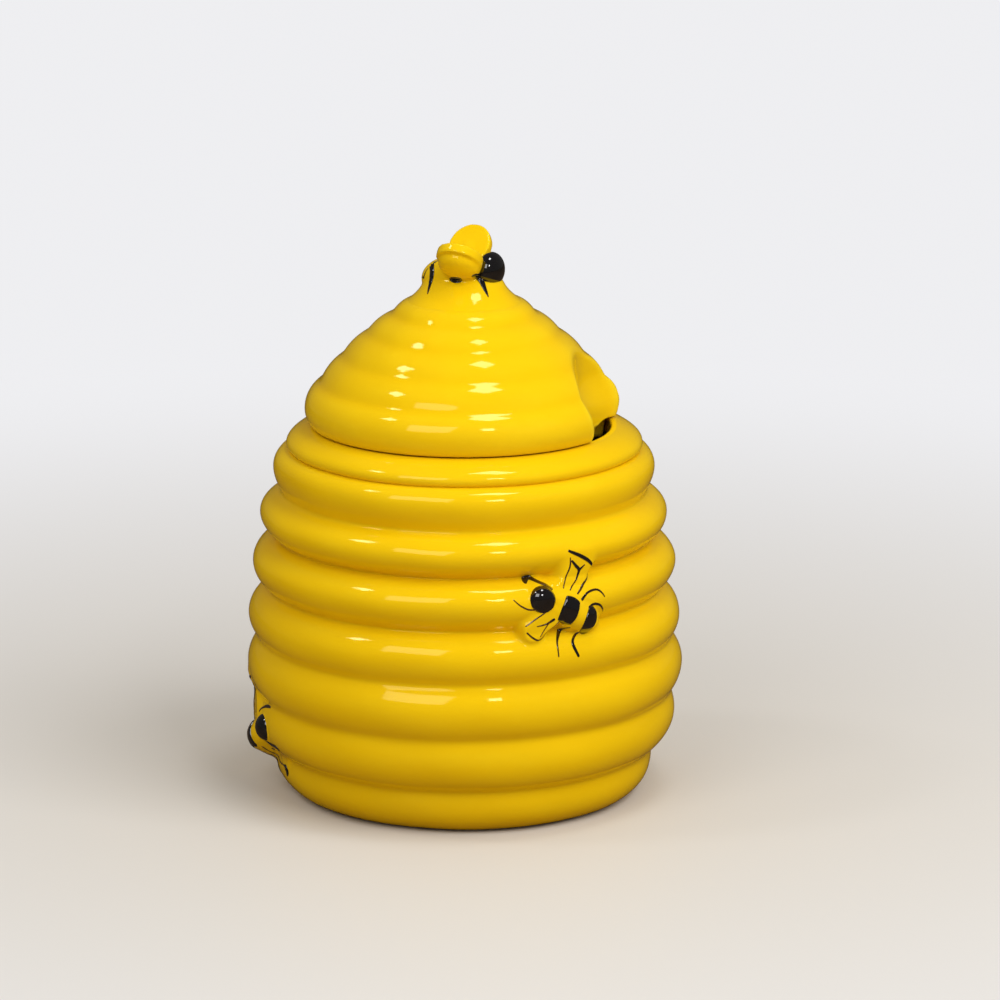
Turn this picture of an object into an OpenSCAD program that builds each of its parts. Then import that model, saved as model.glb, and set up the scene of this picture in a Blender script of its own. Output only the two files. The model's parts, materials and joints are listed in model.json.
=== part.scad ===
// Beehive honey pot with a loose lid, a bee for its knob and two bees in relief on its side.
// Millimetres. The origin is the centre of the foot, +Z is up, and the front is towards -Y.
// Places round the pot are turns about +Z, counted from the front towards +X.

/* [Pot rolls, from the foot up] */
// Radius of the foot that the pot stands on
foot_r = 39; // [36:0.5:42]
// Height of the base roll
pot_roll_1_h = 12.2; // [10:0.1:14]
// Height of the second roll
pot_roll_2_h = 14.3; // [10:0.1:18]
// Height of the third roll
pot_roll_3_h = 14.4; // [10:0.1:18]
// Height of the fourth roll
pot_roll_4_h = 13.2; // [10:0.1:17]
// Height of the fifth roll
pot_roll_5_h = 13.2; // [10:0.1:17]
// Height of the sixth roll
pot_roll_6_h = 11.5; // [9:0.1:15]
// Height of the seventh roll
pot_roll_7_h = 10.3; // [8:0.1:13]
// Height of the rim roll
rim_roll_h = 7.1; // [6:0.1:9]
// Radius of the groove over the base roll
pot_groove_1_r = 49.1; // [47:0.1:51]
// Radius of the groove over the second roll
pot_groove_2_r = 53.5; // [51:0.1:55]
// Radius of the groove over the third roll
pot_groove_3_r = 53.5; // [51:0.1:55]
// Radius of the groove over the fourth roll
pot_groove_4_r = 50.7; // [49:0.1:53]
// Radius of the groove over the fifth roll
pot_groove_5_r = 48.3; // [47:0.1:51]
// Radius of the groove over the sixth roll
pot_groove_6_r = 47.4; // [45:0.1:49]
// Radius of the groove under the rim roll
pot_groove_7_r = 42.7; // [42:0.1:45]
// Swell of the base roll
pot_roll_1_swell = 3.4; // [2:0.1:4]
// Swell of the second roll
pot_roll_2_swell = 2.6; // [1:0.1:4]
// Swell of the third roll
pot_roll_3_swell = 2.5; // [1:0.1:4]
// Swell of the fourth roll
pot_roll_4_swell = 3.2; // [1:0.1:4]
// Swell of the fifth roll
pot_roll_5_swell = 4.7; // [2:0.1:6]
// Swell of the sixth roll
pot_roll_6_swell = 4.3; // [2:0.1:5]
// Swell of the seventh roll
pot_roll_7_swell = 3.8; // [2:0.1:5]
// Swell of the rim roll
rim_roll_swell = 4.1; // [2:0.1:4.5]

/* [Pot wall and mouth] */
// Thickness of the pot's wall at the grooves
pot_wall = 4.5; // [3.5:0.1:5]
// Thickness of the pot's floor
pot_floor = 5; // [3.5:0.1:8]
// Width of the foot ring
foot_ring_w = 4.5; // [3:0.1:7]
// Depth of the hollow under the foot
foot_hollow = 1.2; // [0.5:0.1:2]
// Radius of the mouth
mouth_r = 37.6; // [37:0.1:38.2]
// Height of the straight wall in the mouth
mouth_h = 4; // [2:0.1:5]
// Rounding of the mouth's edge
mouth_edge = 0.7; // [0.3:0.05:0.8]
// Width of the flat seat that the lid rests on
seat_w = 1.3; // [0.8:0.1:1.6]

/* [Lid rolls, from the seat up] */
// Height of the lid's bottom roll
lid_roll_1_h = 10.8; // [9:0.1:13]
// Height of the lid's second roll
lid_roll_2_h = 6.7; // [5:0.1:9]
// Height of the lid's third roll
lid_roll_3_h = 6.2; // [5:0.1:8]
// Height of the lid's fourth roll
lid_roll_4_h = 4.9; // [4:0.1:7]
// Height of the lid's fifth roll
lid_roll_5_h = 4; // [3:0.1:6]
// Height of the neck under the knob
neck_h = 3; // [2:0.1:5]
// Radius of the groove over the lid's bottom roll
lid_groove_1_r = 37.3; // [35.5:0.1:38.5]
// Radius of the groove over the lid's second roll
lid_groove_2_r = 31.5; // [30:0.1:33]
// Radius of the groove over the lid's third roll
lid_groove_3_r = 25.1; // [24:0.1:27]
// Radius of the groove over the lid's fourth roll
lid_groove_4_r = 19; // [18:0.1:21]
// Radius of the neck at its groove
neck_r = 11.4; // [11:0.1:13]
// Radius of the neck's top, where the knob sits
neck_top_r = 10.8; // [10:0.1:11]
// Swell of the lid's bottom roll
lid_roll_1_swell = 2.6; // [1:0.1:3.5]
// Swell of the lid's upper rolls
lid_roll_swell = 0.5; // [0.2:0.05:1]
// Swell of the roll under the neck
lid_roll_5_swell = 0.8; // [0.2:0.05:1.2]

/* [Lid wall and flange] */
// Thickness of the lid's wall
lid_wall = 4; // [3:0.1:4.5]
// Gap between the lid's lower edge and the rise of the rim outside it
lid_edge_gap = 0.5; // [0.3:0.05:0.8]
// Gap all round between the flange and the mouth
flange_gap = 0.8; // [0.4:0.05:1.2]
// Depth of the locating flange below the seat
flange_h = 6; // [4:0.1:7]
// Thickness of the flange
flange_wall = 3.6; // [2.5:0.1:4]

/* [Serving notch in the lid] */
// Turn of the notch's middle from the front
notch_turn = 81; // [60:1:120]
// Distance of the notch's floor from the axis, at the seat
notch_floor = 31.4; // [30:0.1:32]
// Radius of the notch's hollow
notch_hollow_r = 38; // [30:1:50]
// Lean of the notch's floor towards the axis as it rises
notch_lean = 1.5; // [0:0.5:12]
// Height of the notch's lower edge above the seat
notch_edge_rise = 1.8; // [0.5:0.1:3]

/* [Knob bee on the lid] */
// Turn of the bee's head from +X towards the front
knob_bee_turn = 24; // [0:1:45]
// Half length of the bee's body
knob_body_half_l = 10.6; // [9:0.1:11]
// Radius of the bee's body at its thickest
knob_body_r = 6.5; // [5.5:0.1:7]
// Set-back of the body's middle behind the lid's axis
knob_body_back = 1; // [0:0.1:1.5]
// Height of the body's middle above the neck's top
knob_body_rise = 1.7; // [1:0.1:2.5]
// Radius of the bee's head
knob_head_r = 4; // [3.5:0.1:4.5]
// Distance of the head's middle ahead of the lid's axis
knob_head_ahead = 8.3; // [8:0.1:9]
// Height of the head's middle above the neck's top
knob_head_rise = 5.4; // [4.5:0.1:6]
// Length of a wing
knob_wing_l = 12.4; // [10:0.1:13]
// Width of a wing
knob_wing_w = 12; // [9:0.1:12.5]
// Thickness of a wing
knob_wing_t = 2.4; // [2:0.1:3]
// Rise of the left wing, as an angle from level
knob_left_wing_up = 47; // [35:1:60]
// Rise of the right wing, as an angle from level
knob_right_wing_up = 38; // [30:1:60]
// Distance of a wing's root from the bee's middle plane
knob_wing_root_out = 1.2; // [1:0.1:2]
// Height of a wing's root above the neck's top
knob_wing_root_rise = 5; // [4.5:0.1:5.5]
// Distance of the left wing's middle ahead of the lid's axis
knob_left_wing_ahead = -0.8; // [-1.5:0.1:1]
// Distance of the right wing's middle ahead of the lid's axis
knob_right_wing_ahead = 1.6; // [0:0.1:2]

/* [Relief bees on the pot] */
// Radius of a relief bee's head
relief_head_r = 3.5; // [3:0.1:4]
// Half length of a relief bee's body
relief_body_half_l = 7.6; // [7:0.1:8.5]
// Radius of a relief bee's body at its thickest
relief_body_r = 4.3; // [4:0.1:4.6]
// Depth of a relief bee's head's middle under the pot's surface
relief_head_sink = 0.8; // [0.4:0.1:1.4]
// Distance between the middles of the head and the body
relief_spacing = 10.9; // [10.6:0.1:12]
// Turn of the front bee's head from the front
front_bee_turn = 21.3; // [10:0.1:40]
// Height of the front bee's head
front_bee_z = 62.7; // [59:0.1:64.5]
// Direction that the front bee faces, as an angle from level
front_bee_aim = 152; // [130:1:170]
// Depth of the front bee's body's middle under the widest of the pot beside it
front_body_sink = 2.3; // [1.5:0.1:2.6]
// Turn of the side bee's head from the front
side_bee_turn = -74; // [-95:0.1:-60]
// Height of the side bee's head
side_bee_z = 19.3; // [16:0.1:21]
// Direction that the side bee faces, as an angle from level
side_bee_aim = 26; // [10:1:40]
// Depth of the side bee's body's middle under the widest of the pot beside it
side_body_sink = 2.4; // [0.6:0.1:3]

/* [Hidden] */

yellow = [0.94, 0.80, 0.06];
black = [0.05, 0.04, 0.05];
roll_steps = 9;
round_steps = 8;
petal_steps = 36;
past = 1;
$fn = 120;

// Heights and radii of the pot's grooves, with the foot first and the seat last
groove_1_z = pot_roll_1_h;
groove_2_z = groove_1_z + pot_roll_2_h;
groove_3_z = groove_2_z + pot_roll_3_h;
groove_4_z = groove_3_z + pot_roll_4_h;
groove_5_z = groove_4_z + pot_roll_5_h;
groove_6_z = groove_5_z + pot_roll_6_h;
groove_7_z = groove_6_z + pot_roll_7_h;
seat_z = groove_7_z + rim_roll_h;
seat_in_r = mouth_r + mouth_edge;
seat_out_r = seat_in_r + seat_w;
pot_grooves = [[pot_groove_1_r, groove_1_z], [pot_groove_2_r, groove_2_z],
               [pot_groove_3_r, groove_3_z], [pot_groove_4_r, groove_4_z],
               [pot_groove_5_r, groove_5_z], [pot_groove_6_r, groove_6_z],
               [pot_groove_7_r, groove_7_z]];
pot_corners = concat([[foot_r, 0]], pot_grooves, [[seat_out_r, seat_z]]);
pot_swells = [pot_roll_1_swell, pot_roll_2_swell, pot_roll_3_swell, pot_roll_4_swell,
              pot_roll_5_swell, pot_roll_6_swell, pot_roll_7_swell, rim_roll_swell];

// The lid's grooves, with its lower edge first and the neck last
lid_edge_r = seat_out_r - lid_edge_gap;
lid_groove_1_z = seat_z + lid_roll_1_h;
lid_groove_2_z = lid_groove_1_z + lid_roll_2_h;
lid_groove_3_z = lid_groove_2_z + lid_roll_3_h;
lid_groove_4_z = lid_groove_3_z + lid_roll_4_h;
neck_z = lid_groove_4_z + lid_roll_5_h;
neck_top_z = neck_z + neck_h;
lid_grooves = [[lid_groove_1_r, lid_groove_1_z], [lid_groove_2_r, lid_groove_2_z],
               [lid_groove_3_r, lid_groove_3_z], [lid_groove_4_r, lid_groove_4_z]];
lid_corners = concat([[lid_edge_r, seat_z]], lid_grooves, [[neck_r, neck_z]]);
lid_swells = [lid_roll_1_swell, lid_roll_swell, lid_roll_swell, lid_roll_swell,
              lid_roll_5_swell];
flange_r = mouth_r - flange_gap;
flange_in_r = flange_r - flange_wall;
flange_z = seat_z - flange_h;

// One roll between two corners: its points leave the chord by a rounded swell
function roll(a, b, swell) =
    let (chord = b - a, out = [chord[1], -chord[0]] / norm(chord))
    [for (i = [0:roll_steps - 1])
        let (t = 180 * i / roll_steps, lift = (sin(t) + pow(sin(t), 2)) / 2)
        a + chord * (1 - cos(t)) / 2 + out * swell * lift];

function rolls(corners, swells) =
    [for (i = [0:len(swells) - 1]) each roll(corners[i], corners[i + 1], swells[i])];

// The corners between the first and the last, moved inwards by a wall's thickness
function inset(corners, wall) =
    [for (i = [1:len(corners) - 2])
        let (chord = corners[i + 1] - corners[i - 1])
        corners[i] - [chord[1], -chord[0]] / norm(chord) * wall];

function arc(centre, r, from, to) =
    [for (i = [0:round_steps])
        let (t = from + (to - from) * i / round_steps) centre + r * [cos(t), sin(t)]];

// The half outline of an oval that is turned about its long axis
function half_oval(half_l, r) =
    [for (i = [0:2 * roll_steps])
        let (t = 90 - 180 * i / (2 * roll_steps)) [r * cos(t), half_l * sin(t)]];

// A rounded wing that starts at the origin and is widest past its middle
function petal(l, w) =
    [for (i = [0:petal_steps - 1])
        let (t = 360 * i / petal_steps) [w / 2 * sin(t) * (1 - cos(t) / 5), l * (1 - cos(t)) / 2]];

module turned(outline) { rotate_extrude() polygon(outline); }

// The pot's outline from the foot to the seat, with its base roll level where it would dip
pot_outline = concat([for (corner = rolls(pot_corners, pot_swells)) [corner[0], max(corner[1], 0)]],
                     [[seat_out_r, seat_z]]);

// The pot's outer radius at a height, and its widest within a reach above and below
function pot_r(z) = lookup(z, [for (corner = pot_outline) [corner[1], corner[0]]]);
function widest_r(z, reach) = max([for (i = [-4:4]) pot_r(z + reach * i / 4)]);

// The pot's outside with nothing taken out of it
module pot_solid() {
    turned(concat([[0, 0]], pot_outline, [[0, seat_z]]));
}

module pot_hollow() {
    inner = inset(pot_corners, pot_wall);
    edge = arc([seat_in_r, seat_z - mouth_edge], mouth_edge, 180, 90);
    turned(concat([[0, pot_floor], [foot_r - pot_wall, pot_floor]], inner,
                  [[mouth_r, seat_z - mouth_h]], edge,
                  [[seat_in_r, seat_z + past], [0, seat_z + past]]));
}

module foot_hollow_cut() {
    translate([0, 0, -past]) cylinder(r = foot_r - foot_ring_w, h = foot_hollow + past);
}

// Slip-cast earthenware pot: eight stacked rolls over a foot ring, with a flat seat round its mouth
module pot_body() {
    color(yellow) difference() {
        pot_solid();
        pot_hollow();
        foot_hollow_cut();
    }
}

// The lid's outside, with the flange below it as a full disc
module lid_solid() {
    turned(concat([[0, flange_z], [flange_r, flange_z], [flange_r, seat_z]],
                  rolls(lid_corners, lid_swells),
                  [[neck_r, neck_z], [neck_top_r, neck_top_z], [0, neck_top_z]]));
}

module lid_hollow() {
    inner = inset(lid_corners, lid_wall);
    turned(concat([[0, flange_z - past], [flange_in_r, flange_z - past], [flange_in_r, seat_z]],
                  inner, [[0, neck_z - lid_wall]]));
}

// The round hollow of the serving notch: grown by a wall it gives the wall behind the notch
module notch_hollow(r) {
    rotate([0, 0, notch_turn]) translate([0, -notch_floor, seat_z]) rotate([-notch_lean, 0, 0])
        translate([0, -notch_hollow_r, 0]) cylinder(r = r, h = 3 * neck_top_z, center = true);
}

// Under the notch the lid ends a little above the seat, which leaves the way in for the handle
module notch_edge_cut() {
    half_w = sqrt(pow(flange_r, 2) - pow(notch_floor, 2));
    inner = notch_floor - 2 * lid_wall;
    rotate([0, 0, notch_turn]) translate([-half_w, -lid_edge_r, flange_z - past])
        cube([2 * half_w, lid_edge_r - inner, flange_h + notch_edge_rise + past]);
}

// Slip-cast lid: shallow rolls up to a neck, hollow inside, with a notch for a spoon's handle
module lid_shell() {
    color(yellow) difference() {
        lid_solid();
        notch_hollow(notch_hollow_r);
        notch_edge_cut();
        difference() {
            lid_hollow();
            notch_hollow(notch_hollow_r + lid_wall);
        }
    }
}

// The knob bee's frame: +X is its heading, +Y its left, and z is 0 at the neck's top
module knob_frame() {
    translate([0, 0, neck_top_z]) rotate([0, 0, -knob_bee_turn]) children();
}

module knob_body_solid() {
    translate([-knob_body_back, 0, knob_body_rise]) rotate([0, 90, 0])
        turned(half_oval(knob_body_half_l, knob_body_r));
}

// The bee's fat oval body, cut flat where it is stuck on the neck
module knob_bee_body() {
    color(yellow) knob_frame() difference() {
        knob_body_solid();
        translate([0, 0, -2 * knob_body_r])
            cylinder(r = 2 * knob_body_half_l, h = 2 * knob_body_r);
    }
}

module knob_bee_head() {
    color(black) knob_frame() difference() {
        translate([knob_head_ahead, 0, knob_head_rise]) sphere(r = knob_head_r);
        knob_body_solid();
    }
}

module wing_on_the_left(up, ahead) {
    difference() {
        translate([ahead, knob_wing_root_out, knob_wing_root_rise])
            rotate([up, 0, 0]) translate([0, 0, -knob_wing_t / 2])
            linear_extrude(height = knob_wing_t) polygon(petal(knob_wing_l, knob_wing_w));
        knob_body_solid();
    }
}

module knob_bee_left_wing() {
    color(yellow) knob_frame() wing_on_the_left(knob_left_wing_up, knob_left_wing_ahead);
}

module knob_bee_right_wing() {
    color(yellow) knob_frame() mirror([0, 1, 0])
        wing_on_the_left(knob_right_wing_up, knob_right_wing_ahead);
}

// A place on the pot's side: x runs round the pot, y up and z outwards, turned to face the aim
module pot_place(turn, out, z, aim) {
    rotate([0, 0, turn]) translate([0, -out, z]) rotate([90, 0, 0]) rotate([0, 0, aim]) children();
}

// The head and the body are domes that end in the pot's own surface
module relief_head(turn, z) {
    color(black) difference() {
        pot_place(turn, pot_r(z) - relief_head_sink, z, 0)
            turned(half_oval(relief_head_r, relief_head_r));
        pot_solid();
    }
}

module relief_body(turn, z, aim, sink) {
    body_z = z - relief_spacing * sin(aim);
    body_out = widest_r(body_z, relief_body_r) - sink;
    body_turn = turn - relief_spacing * cos(aim) / body_out * 180 / PI;
    color(yellow) difference() {
        pot_place(body_turn, body_out, body_z, aim) rotate([0, 90, 0])
            turned(half_oval(relief_body_half_l, relief_body_r));
        pot_solid();
    }
}

module front_bee_head() { relief_head(front_bee_turn, front_bee_z); }

module front_bee_body() {
    relief_body(front_bee_turn, front_bee_z, front_bee_aim, front_body_sink);
}

module side_bee_head() { relief_head(side_bee_turn, side_bee_z); }

module side_bee_body() {
    relief_body(side_bee_turn, side_bee_z, side_bee_aim, side_body_sink);
}

pot_body();
lid_shell();
knob_bee_body();
knob_bee_head();
knob_bee_left_wing();
knob_bee_right_wing();
front_bee_head();
front_bee_body();
side_bee_head();
side_bee_body();
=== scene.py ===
import bpy
import json
from bisect import bisect_left
from math import atan2, cos, degrees, hypot, inf, pi, radians, sin, sqrt
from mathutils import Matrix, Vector
from mathutils.bvhtree import BVHTree
from mathutils.kdtree import KDTree

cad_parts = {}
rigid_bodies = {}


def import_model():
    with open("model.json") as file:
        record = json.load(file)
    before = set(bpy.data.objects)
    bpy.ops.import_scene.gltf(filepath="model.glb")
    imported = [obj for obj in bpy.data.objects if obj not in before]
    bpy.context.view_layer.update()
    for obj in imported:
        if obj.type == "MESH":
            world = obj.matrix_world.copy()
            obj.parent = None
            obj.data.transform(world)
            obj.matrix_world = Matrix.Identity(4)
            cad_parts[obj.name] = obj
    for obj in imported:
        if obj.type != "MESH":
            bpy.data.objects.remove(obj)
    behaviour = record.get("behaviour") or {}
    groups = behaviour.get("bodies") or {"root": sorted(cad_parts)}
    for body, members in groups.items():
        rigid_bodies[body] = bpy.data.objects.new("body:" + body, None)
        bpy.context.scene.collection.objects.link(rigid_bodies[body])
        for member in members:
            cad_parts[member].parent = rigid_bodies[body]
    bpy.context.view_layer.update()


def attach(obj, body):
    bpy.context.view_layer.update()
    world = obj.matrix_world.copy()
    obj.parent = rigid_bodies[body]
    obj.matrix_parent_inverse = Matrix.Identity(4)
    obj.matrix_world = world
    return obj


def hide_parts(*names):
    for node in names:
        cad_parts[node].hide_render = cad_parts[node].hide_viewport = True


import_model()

# The pot: slip-cast earthenware, eight rolls over a foot ring, with a flat seat round its mouth.
# Its two bees are raised from the same clay, so the wall swells softly up to each of them. It is
# glazed yellow all over, and its foot ring is wiped bare before firing.
# Sizes are in millimetres, and mm turns them into the frame's metres.
mm = 0.001
FOOT_R = 39.0
SEAT_Z = 96.2
POT_CORNERS = [(FOOT_R, 0.0), (49.1, 12.2), (53.5, 26.5), (53.5, 40.9), (50.7, 54.1), (48.3, 67.3),
               (47.4, 78.8), (42.7, 89.1), (39.6, SEAT_Z)]
POT_SWELLS = [3.4, 2.6, 2.5, 3.2, 4.7, 4.3, 3.8, 4.1]
GLAZE_SWELL = 0.25
POT_WALL = 4.5
POT_FLOOR = 5.0
FLOOR_MIDDLE_R = 20
FOOT_RING_W = 4.5
FOOT_HOLLOW = 1.2
FOOT_FLAT = 0.3
MOUTH_R = 37.6
MOUTH_H = 4.0
MOUTH_EDGE = 0.7
SEAT_IN_R = MOUTH_R + MOUTH_EDGE
ROUND_STEPS = 300
# The wall's ripples die out over this height towards the seat, which is true and flat.
SEAT_FADE = 4


def rolls(corners, swells, steps=40):
    """The outline of a stack of rolls: each leaves the line between two grooves by a swell."""
    points = []
    for (r, z), (next_r, next_z), swell in zip(corners, corners[1:], swells):
        wide, high = next_r - r, next_z - z
        for step in range(steps):
            t = pi * step / steps
            out = swell * (sin(t) + sin(t) ** 2) / 2 / hypot(wide, high)
            up = (1 - cos(t)) / 2
            points.append((r + wide * up + high * out, max(z + high * up - wide * out, 0.0)))
    return points + [corners[-1]]


def inset(corners, wall):
    """The corners between the first and the last, moved inwards by a wall's thickness."""
    moved = []
    for before, (r, z), after in zip(corners, corners[1:], corners[2:]):
        wide, high = after[0] - before[0], after[1] - before[1]
        moved.append((r - high * wall / hypot(wide, high), z + wide * wall / hypot(wide, high)))
    return moved


def spaced(points, gap):
    """The same line with points that stand evenly apart."""
    reach = [0.0]
    for a, b in zip(points, points[1:]):
        reach.append(reach[-1] + hypot(b[0] - a[0], b[1] - a[1]))
    count = max(2, round(reach[-1] / gap))
    even = []
    for step in range(count + 1):
        along = reach[-1] * step / count
        i = min(max(bisect_left(reach, along), 1), len(points) - 1)
        share = (along - reach[i - 1]) / max(reach[i] - reach[i - 1], 1e-9)
        even.append(tuple(a + (b - a) * share for a, b in zip(points[i - 1], points[i])))
    return even


def softened(points, times):
    """The same line with its corners rounded, and its ends where they were."""
    for _ in range(times):
        middle = [tuple((a + 2 * b + c) / 4 for a, b, c in zip(*three))
                  for three in zip(points, points[1:], points[2:])]
        points = [points[0]] + middle + [points[-1]]
    return points


def radius_on(outline):
    """The radius of an outline at a height, as a function."""
    by_height = sorted((z, r) for r, z in outline)
    heights = [z for z, r in by_height]

    def radius(z):
        i = min(max(bisect_left(heights, z), 1), len(heights) - 1)
        (z0, r0), (z1, r1) = by_height[i - 1], by_height[i]
        return r0 + (r1 - r0) * min(max((z - z0) / max(z1 - z0, 1e-9), 0), 1)
    return radius


def eased(corners, swells, gap, times, rounds=8, share=0.7):
    """The outline with soft grooves, whose grooves and crests still end at their own radii.

    Each round cuts the grooves deeper and makes the crests fuller by a share of what is missing.
    """
    wanted = radius_on(rolls(corners, swells))
    grooves = [z for r, z in corners[1:-1]]
    crests = [(a[1] + b[1]) / 2 for a, b in zip(corners, corners[1:])]
    cut, fuller = [0.0] * len(grooves), list(swells)
    for _ in range(rounds):
        deeper = [(r - more, z) for (r, z), more in zip(corners[1:-1], cut)]
        outline = softened(spaced(rolls([corners[0]] + deeper + [corners[-1]], fuller), gap), times)
        radius = radius_on(outline)
        cut = [more + (radius(z) - wanted(z)) * share for more, z in zip(cut, grooves)]
        fuller = [swell + (wanted(z) - radius(z)) * share for swell, z in zip(fuller, crests)]
    return outline


def filled(radius, reach, step=0.5, count=200):
    """The radius with every groove narrower than twice the reach filled, as a function."""
    steps = round(reach / step)
    near = range(-steps, steps + 1)
    heights = [step * i for i in range(count)]
    widest = [max(radius(z + step * i) for i in near) for z in heights]
    closed = [min(widest[min(max(j + i, 0), count - 1)] for i in near) for j in range(count)]
    return radius_on(list(zip(closed, heights)))


def deselect():
    bpy.ops.object.select_all(action="DESELECT")


def spun(name, outline, steps):
    """Draws an outline of radius and height as a chain of edges, and spins it round Z."""
    deselect()
    bpy.ops.mesh.primitive_plane_add(size=mm)
    piece = bpy.context.object
    piece.name = piece.data.name = name
    bpy.ops.object.mode_set(mode="EDIT")
    bpy.ops.mesh.merge(type="CENTER")
    r, z = outline[0]
    bpy.ops.transform.translate(value=(r * mm, 0, z * mm))
    for next_r, next_z in outline[1:]:
        bpy.ops.mesh.extrude_vertices_move(
            TRANSFORM_OT_translate={"value": ((next_r - r) * mm, 0, (next_z - z) * mm)})
        r, z = next_r, next_z
    bpy.ops.mesh.select_all(action="SELECT")
    bpy.ops.mesh.spin(steps=steps, angle=2 * pi, center=(0, 0, 0), axis=(0, 0, 1))
    bpy.ops.mesh.select_all(action="SELECT")
    bpy.ops.mesh.remove_doubles(threshold=0.01 * mm)
    bpy.ops.mesh.normals_make_consistent(inside=False)
    bpy.ops.object.mode_set(mode="OBJECT")
    return piece


def soft_max(a, b, reach):
    """The larger of two lengths, with a rounded corner where they meet."""
    overlap = max(reach - abs(a - b), 0) / reach
    return max(a, b) + overlap * overlap * reach / 4


def soft_min(a, b, reach):
    return -soft_max(-a, -b, reach)


pot_outline = eased(POT_CORNERS, [swell + GLAZE_SWELL for swell in POT_SWELLS], gap=0.75, times=7)
pot_radius = radius_on(pot_outline)
pot_filled = filled(pot_radius, reach=6)

# The ripples that casting and wiping by hand leave in the wall: how high each one is, how many
# waves it has round the pot, how fast it climbs and where it starts.
RIPPLES = [(0.16, 3, 11, 0), (0.10, 7, -6, 1), (0.05, 13, 3.5, 2)]


def hand_waver(turn, z):
    """How far the wall leaves a true circle."""
    return sum(high * sin(waves * turn + z / climb + start)
               for high, waves, climb, start in RIPPLES)


# Where each bee in relief lies on the pot: the turn from the front towards +X, the height, the
# distance out of its middle, its half length and half width, its height, the way it faces, and
# the share of its half width at which its steep edge starts.
FRONT_HEAD = dict(turn=21.3, z=62.7, out=53.0, half=(3.35, 3.35), lift=2.9, aim=152, round=0.95)
FRONT_BODY = dict(turn=31.9, z=57.6, out=51.85, half=(7.6, 4.4), lift=4.2, aim=152, round=0.9)
SIDE_HEAD = dict(turn=-72.3, z=19.8, out=53.3, half=(3.45, 3.45), lift=2.9, aim=26, round=0.95)
SIDE_BODY = dict(turn=-85, z=14.5, out=51.8, half=(7.6, 4.4), lift=4.3, aim=26, round=0.9)
RELIEF_SOFT = 1.5
# Each relief has a piece of its own, and the wall lies this far under it.
RELIEF_SINK = 0.25
# Under a bee's wings the groove is filled out. Each wing runs from a root to a tip, ahead of the
# head's middle and to one side of it, and has a half width. The side bee is the mirror image.
WINGS = [((-6.3, 4.4), (-6.7, 12.6), 5.2), ((-4.1, -3.0), (-1.5, -8.4), 3.6)]
# A wing's fill ends a little past its half width, and falls away over a share of it. No wing
# reaches past the last distance.
WING_OUTER, WING_SLOPE, WINGS_END = 1.15, 0.6, 25
# The share of a groove's depth that is filled, and what stands proud of it.
GROOVE_FILL, WING_PAD = 0.9, 0.4


def ahead_and_left(dome, turn, z):
    """How far a place on the wall lies ahead of a dome's middle, and to the left of it."""
    arc = (degrees(turn) - dome["turn"] + 180) % 360 - 180
    x, y = radians(arc) * dome["out"], z - dome["z"]
    aim = radians(dome["aim"])
    return x * cos(aim) + y * sin(aim), y * cos(aim) - x * sin(aim)


def relief_height(dome, turn, z):
    """The radius of a relief's surface, which falls away steeply past its edge."""
    along, across = ahead_and_left(dome, turn, z)
    far = hypot(along / dome["half"][0], across / dome["half"][1])
    edge = dome["round"]
    if far < edge:
        rise = sqrt(1 - far * far)
    else:
        rise = sqrt(1 - edge * edge) - edge / sqrt(1 - edge * edge) * (far - edge)
    return dome["out"] + dome["lift"] * rise


def under_wings(head, hand, turn, z):
    """How far the wall is filled out for a bee's wings: 1 in the middle of a wing, 0 beside it."""
    ahead, left = ahead_and_left(head, turn, z)
    if hypot(ahead, left) > WINGS_END:
        return 0
    beside = hand * left
    most = 0
    for (a0, b0), (a1, b1), half in WINGS:
        long, wide = a1 - a0, b1 - b0
        along = ((ahead - a0) * long + (beside - b0) * wide) / (long ** 2 + wide ** 2)
        along = min(max(along, 0), 1)
        far = hypot(ahead - a0 - long * along, beside - b0 - wide * along)
        share = min(max((WING_OUTER * half - far) / (WING_SLOPE * half), 0), 1)
        most = max(most, share * share * (3 - 2 * share))
    return most


def pot_skin(turn, z, sink=0.0):
    """The radius of the pot's outside, its reliefs included."""
    radius = pot_radius(z) + hand_waver(turn, z)
    fill = max(under_wings(FRONT_HEAD, -1, turn, z), under_wings(SIDE_HEAD, 1, turn, z))
    if fill:
        radius += max(pot_filled(z) - pot_radius(z), 0) * GROOVE_FILL * fill + WING_PAD * fill
    for dome in (FRONT_HEAD, FRONT_BODY, SIDE_HEAD, SIDE_BODY):
        radius = soft_max(radius, relief_height(dome, turn, z) - sink, RELIEF_SOFT)
    return radius


def on_axis(radius, turn, z):
    """A place in metres, from its distance to the axis, its turn from the front and its height."""
    return Vector((radius * sin(turn), -radius * cos(turn), z)) * mm


# How hollow the surface is sets the glaze's colour. Grooves are darker and more orange, partly from
# thicker glaze and partly as painted shade.
def mark_hollows(piece, spread, depth):
    """Writes how hollow the surface is at each point, from -1 on a crest to 1 in a groove.

    A point is compared with the surface smoothed as many times as the spread says, and a depth
    below that counts as 1.
    """
    mesh = piece.data
    smoothed = piece.copy()
    bpy.context.scene.collection.objects.link(smoothed)
    modifier = smoothed.modifiers.new("spread", "SMOOTH")
    modifier.factor, modifier.iterations = 0.5, spread
    level = smoothed.evaluated_get(bpy.context.evaluated_depsgraph_get()).data
    hollowness = mesh.attributes.new("hollowness", "FLOAT", "POINT")
    for vertex, flat, value in zip(mesh.vertices, level.vertices, hollowness.data):
        value.value = min(max((flat.co - vertex.co).dot(vertex.normal) / (depth * mm), -1), 1)
    bpy.data.objects.remove(smoothed)


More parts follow.
